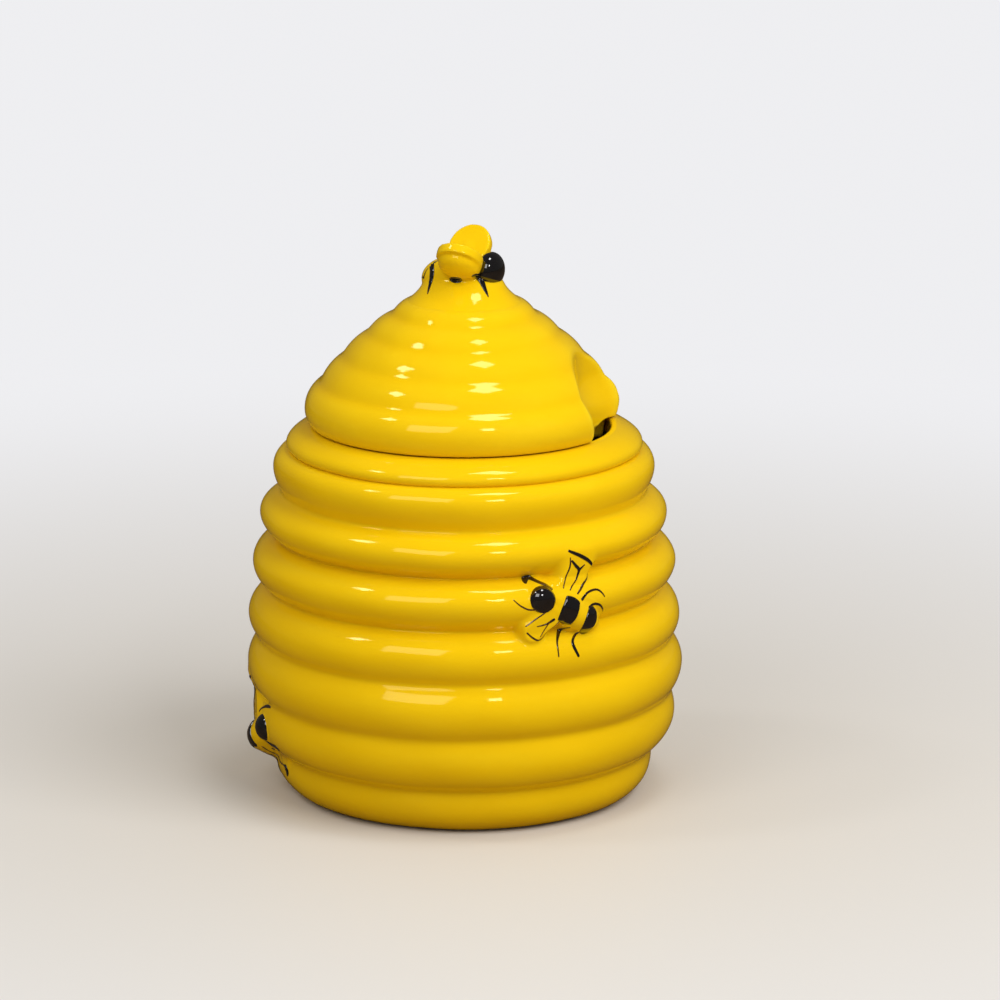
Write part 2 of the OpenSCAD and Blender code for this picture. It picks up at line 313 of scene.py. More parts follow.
seat_edge = [(SEAT_IN_R - MOUTH_EDGE * sin(t * pi / 8), SEAT_Z - MOUTH_EDGE * (1 - cos(t * pi / 8)))
             for t in range(5)]
pot_inner = softened(spaced([(MOUTH_R, SEAT_Z - MOUTH_H)] + inset(POT_CORNERS, POT_WALL)[::-1]
                            + [(FOOT_R - POT_WALL, POT_FLOOR)], gap=2.0), times=3)
foot_in_r = FOOT_R - FOOT_RING_W
pot_line = ([(0, FOOT_HOLLOW), (foot_in_r - 1.5, FOOT_HOLLOW), (foot_in_r - 0.4, FOOT_HOLLOW - 0.3),
             (foot_in_r, FOOT_HOLLOW - 0.8), (foot_in_r + 0.3, 0.15), (foot_in_r + 0.8, 0)]
            + pot_outline + seat_edge + pot_inner + [(FLOOR_MIDDLE_R, POT_FLOOR), (0, POT_FLOOR)])
pot = spun("pot", pot_line, ROUND_STEPS)
mark_hollows(pot, spread=7, depth=1.5)

# The wall is cut finer round each bee, so that the clay swells up to it without facets. Each
# field has the turn and the height of its middle, and how far it reaches round and up from there.
BEE_FIELDS = [(27, 60, 17, 12), (-80, 15, 19, 13)]
OUTSIDE_DEPTH = 1


def is_outside(x, y, z):
    """Whether a place on the pot lies on its outside, and not on its inner wall."""
    return hypot(x, y) > pot_radius(z) - OUTSIDE_DEPTH


bpy.ops.object.mode_set(mode="EDIT")
bpy.ops.mesh.select_mode(type="FACE")
bpy.ops.mesh.select_all(action="DESELECT")
bpy.ops.object.mode_set(mode="OBJECT")
for face in pot.data.polygons:
    x, y, z = face.center / mm
    turn = degrees(atan2(x, -y))
    face.select = is_outside(x, y, z) and any(
        abs(turn - middle) < half_turn and abs(z - height) < half_height
        for middle, height, half_turn, half_height in BEE_FIELDS)
bpy.ops.object.mode_set(mode="EDIT")
bpy.ops.mesh.subdivide(number_cuts=2, ngon=True)
bpy.ops.mesh.select_mode(type="VERT")
bpy.ops.object.mode_set(mode="OBJECT")
for vertex in pot.data.vertices:
    x, y, z = vertex.co / mm
    if z > FOOT_FLAT and is_outside(x, y, z):
        turn = atan2(x, -y)
        fade = min((SEAT_Z - z) / SEAT_FADE, 1)
        grow = pot_skin(turn, z, RELIEF_SINK) - pot_radius(z)
        vertex.co = on_axis(hypot(x, y) + grow * fade, turn, z)
pot.data.update()
bpy.ops.object.shade_smooth()

# The yellow glaze is a clear, glossy coat over a yellow slip. It runs off the crests, where it is
# pale. The grooves are coloured darker and more orange: partly because the glaze pools thicker
# there, and partly as painted shade of the grooves. Bare clay shows cream.
YELLOW = (0.86, 0.55, 0.003, 1)
PALE_YELLOW = (0.90, 0.64, 0.012, 1)
ORANGE = (0.62, 0.23, 0.001, 1)
BARE_CLAY = (0.66, 0.58, 0.45, 1)
FOOT_WIPED = 0.35


class Shade:
    """One output of a material's nodes, which plain sums turn into Math nodes."""

    def __init__(self, tree, socket):
        self.tree, self.socket = tree, socket

    def node(self, kind, settings, values, output=0):
        """Adds a node: its settings first, then the values or links of its sockets."""
        made = self.tree.nodes.new(kind)
        for name, value in settings.items():
            setattr(made, name, value)
        for name, value in values.items():
            if isinstance(value, Shade):
                self.tree.links.new(value.socket, made.inputs[name])
            else:
                made.inputs[name].default_value = value
        return Shade(self.tree, made.outputs[output])

    def maths(self, operation, *values):
        return self.node("ShaderNodeMath", {"operation": operation}, dict(enumerate(values)))

    def __add__(self, other): return self.maths("ADD", self, other)
    def __sub__(self, other): return self.maths("SUBTRACT", self, other)
    def __mul__(self, other): return self.maths("MULTIPLY", self, other)
    def __radd__(self, other): return self.maths("ADD", other, self)
    def __rsub__(self, other): return self.maths("SUBTRACT", other, self)
    def __rmul__(self, other): return self.maths("MULTIPLY", other, self)

    def between(self, low, high):
        """0 below low, 1 above high and a smooth change from one to the other."""
        return self.node("ShaderNodeMapRange", {"interpolation_type": "SMOOTHSTEP"},
                         {"Value": self, "From Min": low, "From Max": high})

    def mix(self, colour, other):
        """colour where this is 0 and the other colour where it is 1."""
        return self.node("ShaderNodeMix", {"data_type": "RGBA"}, {0: self, 6: colour, 7: other}, 2)

    def noise(self, place, scale, detail=2.0):
        return self.node("ShaderNodeTexNoise", {},
                         {"Vector": place, "Scale": scale, "Detail": detail})


def blank_glaze(name, roughness, tint):
    """A glossy material whose reflections take a tint, and a Shade to start its nodes from."""
    material = bpy.data.materials.new(name)
    material.use_nodes = True
    shader = material.node_tree.nodes["Principled BSDF"]
    shader.inputs["Roughness"].default_value = roughness
    shader.inputs["IOR"].default_value = 1.5
    shader.inputs["Specular Tint"].default_value = tint
    return material, shader, Shade(material.node_tree, None)


def yellow_glaze(name, bare_below=-1):
    """Yellow glaze, with bare clay below a height in metres.

    Its hollows are darker and more orange: partly thicker glaze, partly painted shade.
    """
    gloss = 0.06
    material, shader, start = blank_glaze(name, gloss, (1, 0.96, 0.5, 1))
    place = start.node("ShaderNodeTexCoord", {}, {}, 3)
    hollowness = start.node("ShaderNodeAttribute", {"attribute_name": "hollowness"}, {}, 2)
    # The glaze's depth drifts slowly in level bands, and is specked finely.
    level = start.node("ShaderNodeVectorMath", {"operation": "MULTIPLY"}, {0: place, 1: (1, 1, 5)})
    drift = start.noise(level, 45.0)
    specks = start.noise(place, 420.0, 3.0)
    # This depth mixes the glaze's real thickness with painted shade in the hollows. The orange of
    # the grooves is partly each.
    depth = hollowness + (drift - 0.5) * 0.35 + (specks - 0.5) * 0.12
    colour = depth.between(0.08, -0.5).mix(YELLOW, PALE_YELLOW)
    colour = (depth.between(0.0, 0.85) * 0.9).mix(colour, ORANGE)
    height = start.node("ShaderNodeSeparateXYZ", {}, {"Vector": place}, 2)
    ragged = height + (specks - 0.5) * 0.4 * mm
    bare = 1 - ragged.between(bare_below, bare_below + 0.15 * mm)
    colour = bare.mix(colour, BARE_CLAY)
    tree = material.node_tree
    tree.links.new(colour.socket, shader.inputs["Base Color"])
    tree.links.new((gloss + bare * 0.6).socket, shader.inputs["Roughness"])
    unevenness = start.noise(place, 130.0, 1.0)
    bump = start.node("ShaderNodeBump", {},
                      {"Strength": 0.25, "Distance": 0.25 * mm, "Height": unevenness})
    tree.links.new(bump.socket, shader.inputs["Normal"])
    return material


pot.data.materials.append(yellow_glaze("yellow_glaze_pot", FOOT_WIPED * mm))
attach(pot, "pot")
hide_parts("pot_body")

# The lid: slip-cast too, a dome of shallow rolls with a flange under it that drops in the mouth.
# A round flute is pressed into its wall, and leaves a notch over the mouth for a spoon's handle.
LID_R = 39.1
LID_TOP_Z = 128.8
LID_CORNERS = [(LID_R, SEAT_Z), (37.3, 107.0), (31.5, 113.7), (25.1, 119.9), (19.0, 124.8),
               (12.4, LID_TOP_Z)]
LID_SWELLS = [2.6, 0.5, 0.5, 0.5, 0.8]
LID_WALL = 4.0
LID_EDGE_Z = SEAT_Z + 0.35
NECK_R = 10.9
NECK_TOP_Z = LID_TOP_Z + 3
NECK_FADE = 6
WAVER_SHARE = 0.8
FLANGE_R = MOUTH_R - 0.8
FLANGE_IN_R = FLANGE_R - 3.6
FLANGE_Z = SEAT_Z - 6
# Above this height what shows is the lid's wall, and below it the flange. What lies less than a
# depth inside either of them is their outer side.
LID_OUTSIDE_Z = SEAT_Z + 0.2
LID_SIDE_DEPTH, FLANGE_SIDE_DEPTH = 1.5, 1.8
# The flute's floor leans inwards from its knee upwards, over a rise, and bends softly.
NOTCH_TURN = radians(77)
NOTCH_FLOOR = 32.0
NOTCH_R = 25.0
NOTCH_KNEE = 100.5
NOTCH_LEAN = 0.4
NOTCH_RISE = 7
NOTCH_BEND = 2
NOTCH_SOFT = 1.2
NOTCH_WALL = LID_WALL * 0.9
# The notch's lower edge ends within a half turn, and drops towards the front below a turn. Both
# changes are spread over some degrees.
NOTCH_EDGE_Z = SEAT_Z + 0.5
NOTCH_HALF_TURN, NOTCH_HALF_SPREAD = 27, 4
NOTCH_DROP = 3.2
NOTCH_DROP_TURN, NOTCH_DROP_SPREAD = 95, 12

lid_outline = [(r, max(z, LID_EDGE_Z))
               for r, z in eased(LID_CORNERS, LID_SWELLS, gap=0.7, times=4)]
lid_radius = radius_on(lid_outline)
lid_inner = softened(spaced([(0, LID_TOP_Z - LID_WALL)] + inset(LID_CORNERS, LID_WALL)[::-1]
                            + [(FLANGE_IN_R, SEAT_Z - 0.5)], gap=1.6), times=2)
neck_line = [(0, NECK_TOP_Z - 0.6), (NECK_R - 2.4, NECK_TOP_Z - 0.6),
             (NECK_R - 0.7, NECK_TOP_Z - 1.2), (NECK_R, NECK_TOP_Z - 2.2)]
under_edge = [(LID_R - 0.5, SEAT_Z + 0.3), (LID_R - 1.0, SEAT_Z + 0.25), (LID_R - 1.2, SEAT_Z),
              (FLANGE_R + 0.4, SEAT_Z)]
flange_out = [(FLANGE_R, SEAT_Z - down) for down in (0.4, 1.7, 3.0, 4.2, 5.3)]
flange_foot = [(FLANGE_R - 0.2, FLANGE_Z + 0.2), (FLANGE_R - 0.7, FLANGE_Z),
               (FLANGE_IN_R + 0.7, FLANGE_Z), (FLANGE_IN_R + 0.2, FLANGE_Z + 0.2)]
flange_in = [(FLANGE_IN_R, SEAT_Z - down) for down in (5.3, 3.7, 2.0)]
lid_line = (neck_line + lid_outline[::-1] + under_edge + flange_out + flange_foot + flange_in
            + lid_inner[::-1])


def flute_radius(turn, z):
    """How far out the flute's wall lies, or infinity where the flute doesn't reach."""
    lean = soft_min(soft_max(z - NOTCH_KNEE, 0, NOTCH_BEND), NOTCH_RISE, NOTCH_BEND)
    middle = NOTCH_FLOOR - NOTCH_LEAN * lean + NOTCH_R
    aside = turn - NOTCH_TURN
    inside = NOTCH_R ** 2 - (middle * sin(aside)) ** 2
    if inside < 0 or cos(aside) < 0:
        return inf
    return middle * cos(aside) - sqrt(inside)


def notch_edge(turn, z):
    """The height with the notch's lower edge lifted off the seat."""
    fade = (NOTCH_HALF_TURN - degrees(abs(turn - NOTCH_TURN))) / NOTCH_HALF_SPREAD
    drop = (NOTCH_DROP_TURN - degrees(turn)) / NOTCH_DROP_SPREAD
    edge_z = NOTCH_EDGE_Z - NOTCH_DROP * min(max(drop, 0), 1)
    return z + max(edge_z - z, 0) * min(max(fade, 0), 1)


lid = spun("lid", lid_line, ROUND_STEPS)
for vertex in lid.data.vertices:
    x, y, z = vertex.co / mm
    r, turn = hypot(x, y), atan2(x, -y)
    flute = flute_radius(turn, z)
    if z > LID_OUTSIDE_Z:
        outer = r > lid_radius(z) - LID_SIDE_DEPTH
    else:
        outer = r > FLANGE_R - FLANGE_SIDE_DEPTH
    z = notch_edge(turn, z)
    if outer and z > LID_OUTSIDE_Z:
        fade = min((z - SEAT_Z) / SEAT_FADE, (NECK_TOP_Z - z) / NECK_FADE, 1)
        r += hand_waver(turn + 1, z) * WAVER_SHARE * fade
    if flute < inf:
        r = soft_min(r, flute if outer else flute - NOTCH_WALL, NOTCH_SOFT)
    vertex.co = on_axis(r, turn, z)
lid.data.update()
bpy.ops.object.mode_set(mode="EDIT")
bpy.ops.mesh.select_all(action="SELECT")
bpy.ops.mesh.remove_doubles(threshold=0.02 * mm)
bpy.ops.object.mode_set(mode="OBJECT")
bpy.ops.object.shade_smooth()
mark_hollows(lid, spread=18, depth=0.9)
lid.data.materials.append(yellow_glaze("yellow_glaze_lid"))
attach(lid, "lid")
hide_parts("lid_shell")

# The bee on the lid: modelled by hand in soft clay, a fat oval body with two thick wings, stuck
# on the neck with slip and glazed with the lid, so every joint is filled and rounded.
BEE_TURN = radians(-24)
BEE_BASE = NECK_TOP_Z
BEE_HALF = (10.6, 6.5, 6.5)
BEE_MIDDLE = (-1, 0, 1.7)
WING_ROOT_SIDE, WING_ROOT_UP = 1.2, 5
WING_LENGTH, WING_THICK = 12.4, 2.5
# Each wing's angle up, how far ahead its root lies, its side and its width.
KNOB_WINGS = [(radians(47), -0.7, 1, 11.2), (radians(38), 1.5, -1, 12.0)]
# The clay under a wing is an egg: its half width and half length are shares of the wing's size,
# and then come its half height, the share of the length to its middle and how far down that lies.
UNDER_WIDTH, UNDER_LENGTH, UNDER_HEIGHT, UNDER_ALONG, UNDER_DOWN = 0.46, 0.47, 3.2, 0.43, 1.7
# The clay that fills the hollow between the neck and the body: a disc whose rings each rise by a
# step, with their half length and half width.
FILLET_Z, FILLET_R = -5.6, 16.2
FILLET_RINGS = [(1.5, 15.6, 15.6), (0.9, 14.3, 14.2), (1.0, 13.1, 12.7), (1.2, 12.0, 11.0),
                (1.4, 11.1, 9.2), (1.8, 10.3, 7.3), (1.8, 9.2, 5.4)]


def tip_up(turn_up, ahead, side):
    """Tips what is selected up to a wing's angle, and moves it to the wing's root."""
    bpy.ops.transform.rotate(value=-turn_up, orient_axis="X", center_override=(0, 0, 0))
    bpy.ops.transform.translate(value=(ahead * mm, WING_ROOT_SIDE * mm, WING_ROOT_UP * mm))
    if side < 0:
        bpy.ops.transform.resize(value=(1, -1, 1), center_override=(0, 0, 0))


def add_wing(turn_up, ahead, side, width):
    """Adds a wing in edit mode: a rounded leaf of some thickness, and the clay under it."""
    bpy.ops.mesh.primitive_circle_add(vertices=40, radius=mm, fill_type="NGON")
    bpy.ops.transform.resize(value=(width / 2, WING_LENGTH / 2, 1), center_override=(0, 0, 0))
    bpy.ops.transform.translate(value=(0, WING_LENGTH / 2 * mm, -WING_THICK / 2 * mm))
    bpy.ops.mesh.extrude_region_move(TRANSFORM_OT_translate={"value": (0, 0, WING_THICK * mm)})
    bpy.ops.mesh.select_linked()
    tip_up(turn_up, ahead, side)
    bpy.ops.mesh.primitive_uv_sphere_add(segments=32, ring_count=16, radius=mm)
    bpy.ops.transform.resize(value=(width * UNDER_WIDTH, WING_LENGTH * UNDER_LENGTH, UNDER_HEIGHT),
                             center_override=(0, 0, 0))
    bpy.ops.transform.translate(value=(0, WING_LENGTH * UNDER_ALONG * mm, -UNDER_DOWN * mm))
    tip_up(turn_up, ahead, side)


deselect()
bpy.ops.mesh.primitive_uv_sphere_add(segments=64, ring_count=32, radius=mm)
knob = bpy.context.object
knob.name = knob.data.name = "knob_bee"
bpy.ops.object.mode_set(mode="EDIT")
bpy.ops.transform.resize(value=BEE_HALF, center_override=(0, 0, 0))
bpy.ops.transform.translate(value=[size * mm for size in BEE_MIDDLE])
for turn_up, ahead, side, width in KNOB_WINGS:
    bpy.ops.mesh.select_all(action="DESELECT")
    add_wing(turn_up, ahead, side, width)
bpy.ops.mesh.select_all(action="DESELECT")
bpy.ops.mesh.primitive_circle_add(vertices=64, radius=FILLET_R * mm, fill_type="NGON",
                                  location=(0, 0, FILLET_Z * mm))
for rise, half_length, half_width in FILLET_RINGS:
    bpy.ops.mesh.extrude_region_move(TRANSFORM_OT_translate={"value": (0, 0, rise * mm)})
    bpy.ops.object.mode_set(mode="OBJECT")
    for vertex in knob.data.vertices:
        if vertex.select:
            turn = atan2(vertex.co.y, vertex.co.x)
            vertex.co.x, vertex.co.y = half_length * mm * cos(turn), half_width * mm * sin(turn)
    bpy.ops.object.mode_set(mode="EDIT")
bpy.ops.mesh.select_all(action="SELECT")
bpy.ops.mesh.normals_make_consistent(inside=False)
bpy.ops.transform.rotate(value=-BEE_TURN, orient_axis="Z", center_override=(0, 0, 0))
bpy.ops.transform.translate(value=(0, 0, BEE_BASE * mm))
bpy.ops.object.mode_set(mode="OBJECT")
for kind, settings in (("REMESH", {"mode": "VOXEL", "voxel_size": 0.3 * mm}),
                       ("SMOOTH", {"factor": 0.5, "iterations": 14})):
    modifier = knob.modifiers.new(kind.lower(), kind)
    for name, value in settings.items():
        setattr(modifier, name, value)
    bpy.ops.object.modifier_apply(modifier=modifier.name)
bpy.ops.object.shade_smooth()
mark_hollows(knob, spread=40, depth=0.8)
knob.data.materials.append(yellow_glaze("yellow_glaze_knob"))
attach(knob, "lid")
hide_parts("knob_bee_body", "knob_bee_left_wing", "knob_bee_right_wing")

# The head of the bee on the lid: a bead of clay pressed on the front of its body and painted with
# black enamel, thick enough to stand proud and to shine.
HEAD_HALF = (3.4, 4.7, 4.6)
HEAD_PLACE = (7.4, 0, 5.15)
# Pressing the bead on drew its chin out, backwards and down.
CHIN_PULL, CHIN_SLOPE, CHIN_REACH = Vector((-0.9, 0, -0.5)), 0.8, 4
BLACK = (0.004, 0.0035, 0.004, 1)
THIN_BROWN = (0.12, 0.045, 0.004, 1)


def black_glaze(name):
    """Black enamel over the yellow, brown where the brush left it thin."""
    material, shader, start = blank_glaze(name, 0.1, (1, 1, 1, 1))
    place = start.node("ShaderNodeTexCoord", {}, {}, 3)
    thin = start.node("ShaderNodeAttribute", {"attribute_name": "thin"}, {}, 2)
    streaks = start.noise(place, 900.0)
    colour = (thin + (streaks - 0.5) * 0.5).between(0.15, 0.85).mix(BLACK, THIN_BROWN)
    shader.inputs["IOR"].default_value = 1.7
    shader.inputs["Coat Weight"].default_value = 1
    shader.inputs["Coat IOR"].default_value = 1.6
    shader.inputs["Coat Roughness"].default_value = 0.03
    tree = material.node_tree
    tree.links.new(colour.socket, shader.inputs["Base Color"])
    tree.links.new((0.04 + streaks * 0.08).socket, shader.inputs["Roughness"])
    return material


enamel = black_glaze("black_enamel")
deselect()
bpy.ops.mesh.primitive_uv_sphere_add(segments=64, ring_count=32, radius=mm)
knob_head = bpy.context.object
knob_head.name = knob_head.data.name = "knob_bee_head_bead"
bpy.ops.object.mode_set(mode="EDIT")
bpy.ops.transform.resize(value=HEAD_HALF, center_override=(0, 0, 0))
bpy.ops.object.mode_set(mode="OBJECT")
for vertex in knob_head.data.vertices:
    x, y, z = vertex.co / mm
    chin = max(-x - z * CHIN_SLOPE, 0) / CHIN_REACH
    vertex.co += CHIN_PULL * mm * chin ** 2
bpy.ops.object.mode_set(mode="EDIT")
bpy.ops.mesh.select_all(action="SELECT")
bpy.ops.transform.translate(value=[size * mm for size in HEAD_PLACE])
bpy.ops.transform.rotate(value=-BEE_TURN, orient_axis="Z", center_override=(0, 0, 0))
bpy.ops.transform.translate(value=(0, 0, BEE_BASE * mm))
bpy.ops.object.mode_set(mode="OBJECT")
bpy.ops.object.shade_smooth()
knob_head.data.materials.append(enamel)
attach(knob_head, "lid")
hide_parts("knob_bee_head")

# The bees in relief: each has a round head and an oval body, raised from the pot's wall and
# rounded into it. The heads are painted black all over, and the bodies stay yellow between bands.
# The reach is in half widths of the dome, and a piece dips into the wall over the share of it that
# is its edge. The cover is how far the piece stands proud of the wall that it belongs to.
HEAD_DISC = dict(reach=1.05, rings=16, cover=0.05)
BODY_DISC = dict(reach=1.3, rings=20, cover=0.02)
RELIEF_EDGE, RELIEF_DIP = 0.12, 0.4
RELIEF_THICK = 0.9


def relief(name, dome, material, slot, node, reach, rings, cover):
    """A disc of rings laid on the pot over one relief, and dipped into the wall at its edge."""
    deselect()
    bpy.ops.mesh.primitive_circle_add(vertices=96, radius=reach * mm, fill_type="NGON")
    piece = bpy.context.object
    piece.name = piece.data.name = name
    bpy.ops.object.mode_set(mode="EDIT")
    for _ in range(rings - 1):
        bpy.ops.mesh.inset(thickness=reach * mm / rings)
    bpy.ops.mesh.poke()
    bpy.ops.object.mode_set(mode="OBJECT")
    aim = radians(dome["aim"])
    for vertex in piece.data.vertices:
        along, across = vertex.co.x / mm * dome["half"][0], vertex.co.y / mm * dome["half"][1]
        far = hypot(vertex.co.x, vertex.co.y) / mm
        x, y = along * cos(aim) - across * sin(aim), along * sin(aim) + across * cos(aim)
        turn, z = radians(dome["turn"]) + x / dome["out"], dome["z"] + y
        dip = max(far - (reach - RELIEF_EDGE), 0) / RELIEF_EDGE
        vertex.co = on_axis(pot_skin(turn, z) + cover - RELIEF_DIP * dip ** 2, turn, z)
    modifier = piece.modifiers.new("clay", "SOLIDIFY")
    modifier.thickness, modifier.offset = RELIEF_THICK * mm, -1
    bpy.ops.object.modifier_apply(modifier="clay")
    bpy.ops.object.shade_smooth()
    piece.data.materials.append(material)
    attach(piece, "pot")
    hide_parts(node)
    return piece


relief_yellow = yellow_glaze("yellow_glaze_relief")
relief("front_bee_head_bead", FRONT_HEAD, enamel, "black_glaze", "front_bee_head", **HEAD_DISC)
front_body = relief("front_bee_body_relief", FRONT_BODY, relief_yellow,
                    "yellow_glaze", "front_bee_body", **BODY_DISC)
relief("side_bee_head_bead", SIDE_HEAD, enamel, "black_glaze", "side_bee_head", **HEAD_DISC)
side_body = relief("side_bee_body_relief", SIDE_BODY, relief_yellow,
                   "yellow_glaze", "side_bee_body", **BODY_DISC)
for piece in (front_body, side_body):
    mark_hollows(piece, spread=10, depth=0.6)

# The front bee's painted lines: black enamel laid on the glaze with a fine brush, as wing
# outlines, veins, legs and feelers. Each stroke is a low rounded bead that tapers where the brush
# was lifted. It is points (x, y, width) round the head's middle, as seen from outside.
FEELERS = [
    [(-3.5, 4.2, 1.3), (-2.3, 4.9, 1.1), (-0.5, 4.2, 0.65), (1.5, 3.4, 0.55), (3.0, 2.3, 0.5)],
    [(-7.7, 0.5, 0.25), (-6.0, -1.0, 0.4), (-4.0, -2.1, 0.45), (-2.3, -2.3, 0.4)],
]
UPPER_WING = [
    [(8.3, 11.3, 0.7), (11.2, 9.9, 1.0), (14.0, 8.2, 1.0), (15.9, 6.3, 0.7)],
    [(8.5, 9.6, 0.3), (8.4, 7.4, 0.5), (7.2, 4.6, 0.4), (6.2, 2.2, 0.3)],
    [(16.3, 5.8, 0.45), (14.6, 4.1, 0.5), (12.6, 2.7, 0.55), (9.6, 0.6, 0.45)],
    [(9.0, 8.7, 0.6), (10.3, 7.2, 0.9), (11.2, 6.0, 0.9), (10.2, 3.7, 0.45), (7.8, 1.6, 0.3)],
    [(12.9, 7.2, 0.35), (12.0, 6.6, 0.6), (11.2, 6.0, 0.9)],
]
LOWER_WING = [
    [(0.3, -3.2, 0.4), (-2.3, -4.8, 0.35), (-4.6, -6.4, 0.25)],
    [(-4.3, -8.1, 0.45), (-2.8, -9.5, 0.5), (-1.0, -10.3, 0.5), (1.0, -9.3, 0.5),
     (2.7, -7.7, 0.5), (4.2, -6.0, 0.45)],
    [(2.7, -5.2, 0.8), (0.6, -6.2, 0.5), (-1.7, -6.6, 0.3)],
    [(1.5, -5.8, 0.4), (0.4, -7.4, 0.3), (-0.8, -9.3, 0.25)],
]
UPPER_LEGS = [
    [(10.6, -0.9, 0.8), (12.6, 0.4, 0.6), (15.5, 0.7, 0.55), (16.9, 0.0, 0.55), (17.9, -1.4, 0.3)],
    [(12.6, -3.2, 0.6), (14.7, -2.8, 0.75), (16.8, -3.6, 0.6), (18.6, -5.6, 0.35)],
]
LOWER_FRONT_LEG = [(7.4, -8.2, 0.8), (5.3, -9.6, 0.8), (3.9, -11.5, 0.5), (3.7, -14.7, 0.35)]
LOWER_BACK_LEG = [(10.9, -9.8, 0.5), (8.8, -11.0, 0.6), (8.2, -12.5, 0.9), (9.3, -15.3, 0.7)]
STROKE_GAP = 0.5
# The share of its drawn height at which a stroke is laid down, and the width at which its enamel
# covers well.
STROKE_HEIGHT = 0.3
STROKE_FULL = 0.75
# What is painted lies a hair above the clay, and is drawn on a wall this far out from a head's
# middle.
PAINT_CLEAR, PAINT_OUT = 0.03, 1.5


def curve_through(points, gap):
    """Points (x, y, width) close together on a smooth line through the given ones."""
    line = [points[0]] + list(points) + [points[-1]]
    path = []
    for a, b, c, d in zip(line, line[1:], line[2:], line[3:]):
        count = max(2, round(hypot(c[0] - b[0], c[1] - b[1]) / gap))
        for step in range(count):
            t = step / count
            path.append(tuple(((2 * q) + (s - p) * t + (2 * p - 5 * q + 4 * s - w) * t * t
                               + (3 * q - p - 3 * s + w) * t ** 3) / 2
                              for p, q, s, w in zip(a, b, c, d)))
    return path + [points[-1]]


def round_end(end, before):
    """Two narrower steps past the end of a line, which round it off."""
    gap = hypot(end[0] - before[0], end[1] - before[1])
    onward = ((end[0] - before[0]) / gap, (end[1] - before[1]) / gap)
    return [(end[0] + onward[0] * end[2] * far, end[1] + onward[1] * end[2] * far, end[2] * wide)
            for far, wide in ((0.25, 0.82), (0.45, 0.3))]


def brush(points):
    """Adds one stroke in edit mode: a ring of eight points, drawn out along the line."""
    path = curve_through(points, STROKE_GAP)
    path = round_end(path[0], path[1])[::-1] + path + round_end(path[-1], path[-2])
    x, y, width = path[0]
    heading = atan2(path[1][1] - y, path[1][0] - x)
    bpy.ops.mesh.select_all(action="DESELECT")
    bpy.ops.mesh.primitive_circle_add(vertices=8, radius=width / 2 * mm, fill_type="NGON",
                                      location=(x * mm, y * mm, 0),
                                      rotation=(pi / 2, 0, heading + pi / 2))
    for i in range(1, len(path)):
        next_x, next_y, next_width = path[i]
        after = path[min(i + 1, len(path) - 1)]
        bpy.ops.mesh.extrude_region_move(
            TRANSFORM_OT_translate={"value": ((next_x - x) * mm, (next_y - y) * mm, 0)})
        place = (next_x * mm, next_y * mm, 0)
        if i < len(path) - 1:
            onward = atan2(after[1] - y, after[0] - x)
            turned = (onward - heading + pi) % (2 * pi) - pi
            bpy.ops.transform.rotate(value=-turned, orient_axis="Z", center_override=place)
            heading = onward
        bpy.ops.transform.resize(value=(next_width / width,) * 3, center_override=place)
        x, y, width = next_x, next_y, next_width
    return path


def strokes(name, lines, material):
    """One object of flat strokes, each low and half sunk, ready to be laid on a surface."""
    deselect()
    bpy.ops.mesh.primitive_plane_add(size=mm)
    piece = bpy.context.object
    piece.name = piece.data.name = name
    bpy.ops.object.mode_set(mode="EDIT")
    bpy.ops.mesh.delete(type="VERT")
    paths = [place for line in lines for place in brush(line)]
    bpy.ops.mesh.select_all(action="SELECT")
    bpy.ops.mesh.normals_make_consistent(inside=False)
    bpy.ops.object.mode_set(mode="OBJECT")
    nearest = KDTree(len(paths))
    for i, (x, y, width) in enumerate(paths):
        nearest.insert((x * mm, y * mm, 0), i)
    nearest.balance()
    thin = piece.data.attributes.new("thin", "FLOAT", "POINT")
    for vertex, value in zip(piece.data.vertices, thin.data):
        width = paths[nearest.find((vertex.co.x, vertex.co.y, 0))[1]][2]
        value.value = 1.1 - width / STROKE_FULL
    bpy.ops.object.shade_smooth()
    piece.data.materials.append(material)
    return piece


def lay_on_pot(piece, dome, lift):
    """Lays flat work, drawn round a bee's head as it is seen from outside, on the pot."""
    for vertex in piece.data.vertices:
        x, y, height = vertex.co / mm
        turn, z = radians(dome["turn"]) + x / (dome["out"] + PAINT_OUT), dome["z"] + y
        vertex.co = on_axis(pot_skin(turn, z) + height * lift + PAINT_CLEAR, turn, z)
    piece.data.update()


front_lines = strokes("front_bee_painted_lines", FEELERS + UPPER_WING + LOWER_WING + UPPER_LEGS
                      + [LOWER_FRONT_LEG, LOWER_BACK_LEG], enamel)
lay_on_pot(front_lines, FRONT_HEAD, STROKE_HEIGHT)
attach(front_lines, "pot")

# The painted bands: broad patches of the same enamel across each bee's body, flooded on with a
# full brush, so that each stands proud and ends in a rounded edge. A band has a squarer or a
# rounder outline, slants, and is shifted to one side of the body, over which it reaches across.
THORAX = dict(rounding=0.5, slant=0.25, shift=0, reach=3.8)
TAIL = dict(rounding=0.9, slant=0.5, shift=0.25, reach=3.95)
BAND_HEIGHT = 2.4
# A patch is level in its middle, and dips under the surface over the share that is its edge.
PATCH_CELLS = 28
PATCH_TOP, PATCH_DIP, PATCH_EDGE = 0.16, 0.26, 0.2
PATCH_THICK = 0.12


